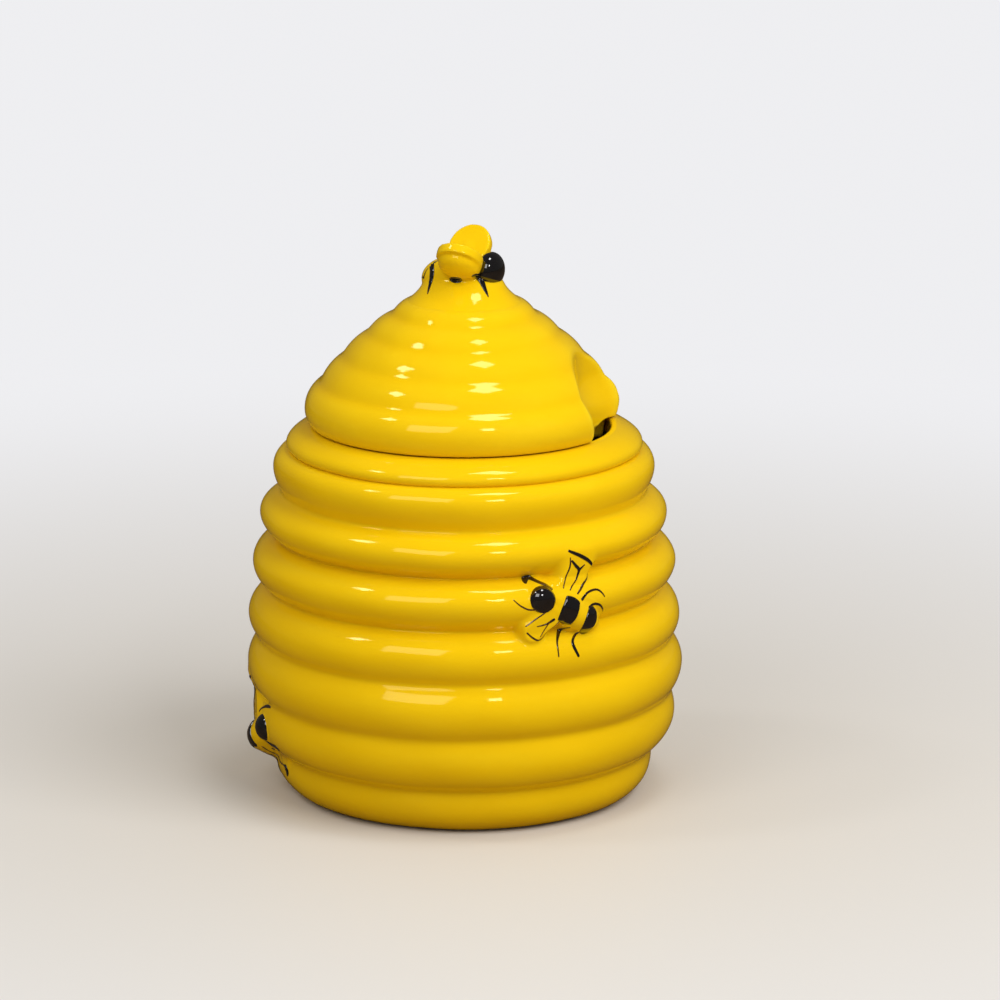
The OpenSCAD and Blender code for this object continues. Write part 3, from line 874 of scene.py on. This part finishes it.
def patch(name, shape, material):
    """A flat patch: a grid whose square is pushed out to a rounded outline."""
    deselect()
    bpy.ops.mesh.primitive_grid_add(x_subdivisions=PATCH_CELLS, y_subdivisions=PATCH_CELLS,
                                    size=2 * mm)
    piece = bpy.context.object
    piece.name = piece.data.name = name
    for vertex in piece.data.vertices:
        u, v = vertex.co.x / mm, vertex.co.y / mm
        edge = max(max(abs(u), abs(v)) - (1 - PATCH_EDGE), 0) / PATCH_EDGE
        x, y = shape(u, v)
        vertex.co = Vector((x, y, PATCH_TOP - PATCH_DIP * edge ** 2)) * mm
    modifier = piece.modifiers.new("coat", "SOLIDIFY")
    modifier.thickness, modifier.offset = PATCH_THICK * mm, -1
    bpy.ops.object.modifier_apply(modifier="coat")
    bpy.ops.object.shade_smooth()
    piece.data.materials.append(material)
    return piece


def squircle(u, v, rounding):
    """A square's point moved towards the circle, by a share."""
    x, y = u * sqrt(1 - v * v / 2), v * sqrt(1 - u * u / 2)
    return u + (x - u) * rounding, v + (y - v) * rounding


def band_shape(kind, body, head, middle, half):
    """Where a band's patch lies on a bee's body, as seen from its head's middle."""
    aim = radians(body["aim"])
    body_x = radians(body["turn"] - head["turn"]) * (head["out"] + PAINT_OUT)
    body_y = body["z"] - head["z"]

    def shape(u, v):
        u, v = squircle(u, v, kind["rounding"])
        along = middle + half * u - kind["slant"] * v
        across = kind["shift"] + kind["reach"] * v
        return (body_x + along * cos(aim) - across * sin(aim),
                body_y + along * sin(aim) + across * cos(aim))
    return shape


for name, kind, body, head, middle, half in (
        ("front_bee_thorax_band", THORAX, FRONT_BODY, FRONT_HEAD, 3.75, 2.35),
        ("front_bee_tail_band", TAIL, FRONT_BODY, FRONT_HEAD, -3.2, 2.2),
        ("side_bee_thorax_band", THORAX, SIDE_BODY, SIDE_HEAD, 1.4, 1.8),
        ("side_bee_tail_band", TAIL, SIDE_BODY, SIDE_HEAD, -4.2, 1.8)):
    band = patch(name, band_shape(kind, body, head, middle, half), enamel)
    lay_on_pot(band, head, BAND_HEIGHT)
    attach(band, "pot")

# The side bee's painted lines, in the same enamel and with the same brush: its own feelers and
# lower wing, and the front bee's other strokes, which this bee mirrors.
SIDE_FEELERS = [
    [(-3.6, 3.3, 0.5), (-3.3, 4.0, 0.55), (-1.9, 4.8, 0.7), (-0.1, 5.5, 0.9), (1.8, 6.0, 1.0),
     (3.7, 6.3, 0.8)],
    [(-1.0, -3.8, 0.7), (1.8, -4.1, 1.0), (4.0, -4.2, 1.5), (6.1, -4.3, 2.0)],
]
SIDE_LOWER_WING = [
    [(-7.2, -7.4, 0.45), (-7.4, -8.8, 0.5), (-5.6, -10.4, 0.5), (-2.2, -10.8, 0.5),
     (1.4, -10.3, 0.6), (3.2, -10.4, 1.5), (3.2, -11.5, 1.9), (2.2, -12.7, 1.0)],
    [(-5.4, -7.6, 0.6), (-3.6, -8.6, 0.4), (-1.2, -9.2, 0.3)],
]


def mirrored(line):
    """A line of the front bee, mirrored and turned to the side bee's heading."""
    from_aim, to_aim = radians(FRONT_HEAD["aim"]), radians(SIDE_HEAD["aim"])
    placed = []
    for x, y, width in line:
        ahead = x * cos(from_aim) + y * sin(from_aim)
        beside = x * sin(from_aim) - y * cos(from_aim)
        placed.append((ahead * cos(to_aim) - beside * sin(to_aim),
                       ahead * sin(to_aim) + beside * cos(to_aim), width))
    return placed


side_lines = strokes("side_bee_painted_lines", SIDE_FEELERS + SIDE_LOWER_WING
                     + [mirrored(line) for line in UPPER_WING + UPPER_LEGS + [LOWER_BACK_LEG]],
                     enamel)
lay_on_pot(side_lines, SIDE_HEAD, STROKE_HEIGHT)
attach(side_lines, "pot")

# The painted marks on the knob: two stripes over the bee's back end, a dot low on its side and a
# short feeler under its head, in the same enamel. They are laid over clay and glaze alike. A
# stroke is points (x, z, width) as seen from the front.
KNOB_LINES = [
    [(-7.6, 140.0, 1.0), (-8.4, 139.2, 1.3), (-8.3, 137.6, 1.3), (-8.2, 136.0, 1.2),
     (-8.5, 134.0, 0.9), (-9.3, 131.3, 0.3)],
    [(-10.6, 137.6, 0.5), (-11.1, 136.0, 0.9), (-11.0, 134.0, 0.5)],
    [(2.4, 136.4, 1.2), (3.4, 136.2, 1.9), (4.4, 134.8, 1.4), (5.2, 133.2, 1.0),
     (6.1, 131.3, 0.3)],
]
DOT_MIDDLE = (-2.15, 135.15)
DOT_HALF = (1.75, 0.95)
DOT_HEIGHT = 1.0
IN_FRONT = -40


def lay_on_knob(piece, surfaces, height):
    """Presses flat work, drawn in front of the knob, straight back on it."""
    trees = [BVHTree.FromObject(surface, bpy.context.evaluated_depsgraph_get())
             for surface in surfaces]
    back = Vector((0, 1, 0))
    for vertex in piece.data.vertices:
        x, z, lift = vertex.co
        start = Vector((x, IN_FRONT * mm, z))
        hits = [hit for hit in (tree.ray_cast(start, back) for tree in trees) if hit[0]]
        if not hits:
            hits = [tree.find_nearest(Vector((x, 0, z))) for tree in trees]
        place, normal = min(hits, key=lambda hit: hit[3])[:2]
        vertex.co = place + normal * (lift * height + PAINT_CLEAR * mm)
    piece.data.update()


def dot_shape(u, v):
    u, v = squircle(u, v, 1)
    return DOT_MIDDLE[0] + DOT_HALF[0] * u, DOT_MIDDLE[1] + DOT_HALF[1] * v


knob_lines = strokes("knob_bee_painted_lines", KNOB_LINES, enamel)
lay_on_knob(knob_lines, (knob, lid), STROKE_HEIGHT)
knob_dot = patch("knob_bee_painted_dot", dot_shape, enamel)
lay_on_knob(knob_dot, (knob, lid), DOT_HEIGHT)
for piece in (knob_lines, knob_dot):
    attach(piece, "lid")

# The floor: a plain pale sheet that runs out of sight behind the pot, and fades into the backdrop.
# The pot is lit by a warm bounce from it, and the glaze mirrors it dark.
SHEET_PALE = (0.70, 0.68, 0.65, 1)
SHEET_BOUNCE = (0.42, 0.32, 0.23, 1)
SHEET_MIRRORED = (0.08, 0.05, 0.03, 1)
BACKDROP = (0.86, 0.86, 0.88, 1)
FADE_FROM, FADE_TO = 0.05, 0.5

deselect()
bpy.ops.mesh.primitive_plane_add(size=6)
floor = bpy.context.object
floor.name = "floor"
sheet = bpy.data.materials.new("pale_floor")
sheet.use_nodes = True
start = Shade(sheet.node_tree, None)
shader = sheet.node_tree.nodes["Principled BSDF"]
shader.inputs["Roughness"].default_value = 0.6
seen = start.node("ShaderNodeLightPath", {}, {}, "Is Camera Ray")
mirrored_ray = start.node("ShaderNodeLightPath", {}, {}, "Is Glossy Ray")
colour = mirrored_ray.mix(seen.mix(SHEET_BOUNCE, SHEET_PALE), SHEET_MIRRORED)
sheet.node_tree.links.new(colour.socket, shader.inputs["Base Color"])
place = start.node("ShaderNodeTexCoord", {}, {}, 3)
away = start.node("ShaderNodeVectorMath", {"operation": "LENGTH"}, {0: place}, 1)
haze = start.node("ShaderNodeEmission", {}, {"Color": BACKDROP, "Strength": 1.0})
faded = start.node("ShaderNodeMixShader", {}, {0: away.between(FADE_FROM, FADE_TO) * seen,
                                               1: Shade(sheet.node_tree, shader.outputs[0]),
                                               2: haze})
sheet.node_tree.links.new(faded.socket, sheet.node_tree.nodes["Material Output"].inputs["Surface"])
floor.data.materials.append(sheet)

# The light: a wide sheet of light from the front right and a soft fill, neither of which the glaze
# mirrors, a window in front on the left, which every roll mirrors as a pale oblong, and small
# lamps for the sparks on the black beads.
LIT_MIDDLE = Vector((0, 0, 0.07))


def softbox(name, turn, rise, far, size, power, mirrored_too=True):
    """A flat lamp that faces the pot, at a turn from the front, an angle up and a distance."""
    light = bpy.data.lights.new(name, "AREA")
    light.shape = "RECTANGLE"
    light.size, light.size_y = size
    light.energy = power
    lamp = bpy.data.objects.new(name, light)
    turn, rise = radians(turn), radians(rise)
    toward = Vector((sin(turn) * cos(rise), -cos(turn) * cos(rise), sin(rise)))
    lamp.location = LIT_MIDDLE + far * toward
    lamp.rotation_euler = (LIT_MIDDLE - lamp.location).to_track_quat("-Z", "Y").to_euler()
    lamp.visible_glossy = mirrored_too
    bpy.context.scene.collection.objects.link(lamp)


softbox("key_right", turn=50, rise=42, far=1.3, size=(0.9, 0.9), power=9.6, mirrored_too=False)
softbox("window_left", turn=-28, rise=37, far=1.1, size=(0.58, 0.46), power=2.3)
softbox("lamp_front", turn=20, rise=37, far=1.2, size=(0.16, 0.16), power=1.1)
softbox("lamp_above", turn=60, rise=78, far=1.2, size=(0.26, 0.26), power=1.7)
softbox("lamp_left", turn=-80, rise=52, far=1.2, size=(0.16, 0.16), power=0.9)

sky = bpy.data.worlds.new("sky")
sky.use_nodes = True
bpy.context.scene.world = sky
start = Shade(sky.node_tree, None)
sky_light = sky.node_tree.nodes["Background"]
sky_light.inputs["Color"].default_value = (1, 0.93, 0.82, 1)
sky_light.inputs["Strength"].default_value = 0.5
dark = start.node("ShaderNodeBackground", {}, {"Color": (1, 0.95, 0.9, 1), "Strength": 0.07})
backdrop = start.node("ShaderNodeBackground", {}, {"Color": BACKDROP, "Strength": 1.0})
seen = start.node("ShaderNodeLightPath", {}, {}, "Is Camera Ray")
mirrored_ray = start.node("ShaderNodeLightPath", {}, {}, "Is Glossy Ray")
lit = start.node("ShaderNodeMixShader", {}, {0: mirrored_ray, 2: dark,
                                             1: Shade(sky.node_tree, sky_light.outputs[0])})
shown = start.node("ShaderNodeMixShader", {}, {0: seen, 1: lit, 2: backdrop})
sky.node_tree.links.new(shown.socket, sky.node_tree.nodes["World Output"].inputs["Surface"])

# The camera: the photograph's view, from a little above and 1.5 m away. Its shift is the little
# that the photograph's framing needs.
camera_data = bpy.data.cameras.new("camera")
camera_data.sensor_width = 36
camera_data.lens = 205.127
camera_data.shift_x = 0.0358
camera_data.clip_end = 20
camera = bpy.data.objects.new("camera", camera_data)
camera.location = (0, -1.42369, 0.42981)
camera.rotation_euler = (radians(90 - 13.9616), 0, 0)
bpy.context.scene.collection.objects.link(camera)
bpy.context.scene.camera = camera
bpy.context.scene.view_settings.view_transform = "Standard"
